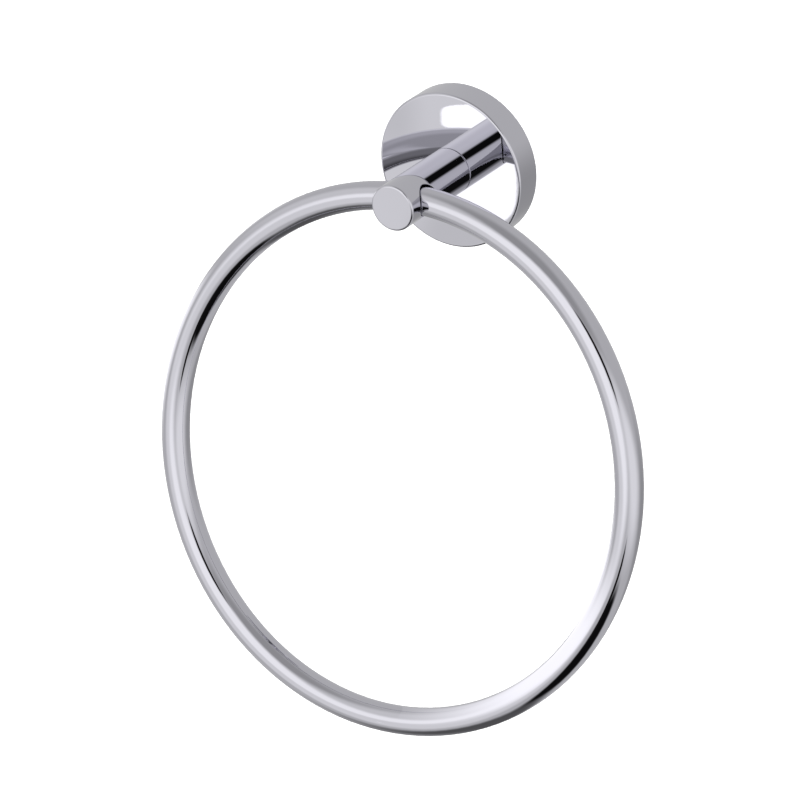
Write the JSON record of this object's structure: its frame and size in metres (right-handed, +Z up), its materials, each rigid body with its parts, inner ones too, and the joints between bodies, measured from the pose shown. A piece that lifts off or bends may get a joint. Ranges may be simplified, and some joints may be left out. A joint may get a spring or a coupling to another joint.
{
  "type": "towel ring",
  "caption": "Wall-mounted towel ring: a closed round bar ring swings in the cross-bore of a short round post on a round flange cover, with a hidden wall bracket",
  "frame": {"origin": "the middle of the wall bracket's back face, in the plane of the wall, on the post's axis", "axes": "+Y points into the wall, so the part stands out towards -Y; +Z is up; X is level and parallel to the ring's swing axis"},
  "size_m": [0.1854, 0.0776, 0.2039],
  "materials": {
    "polished_chrome": "mirror-polished chrome plate on brass",
    "plated_steel": "bright zinc plate on steel"
  },
  "bodies": {
    "wall_mount": {"flange_cover": "polished_chrome", "post": "polished_chrome", "wall_bracket": "plated_steel", "post_screw": "plated_steel", "post_washer": "plated_steel", "set_screw": "plated_steel"},
    "ring": {"ring": "polished_chrome"}
  },
  "joints": [
    {"name": "ring_swing", "type": "hinge", "parent": "wall_mount", "child": "ring", "pos_m": [0, -0.0362, 0], "axis": [1, 0, 0], "range_deg": [-178, 22]}
  ]
}
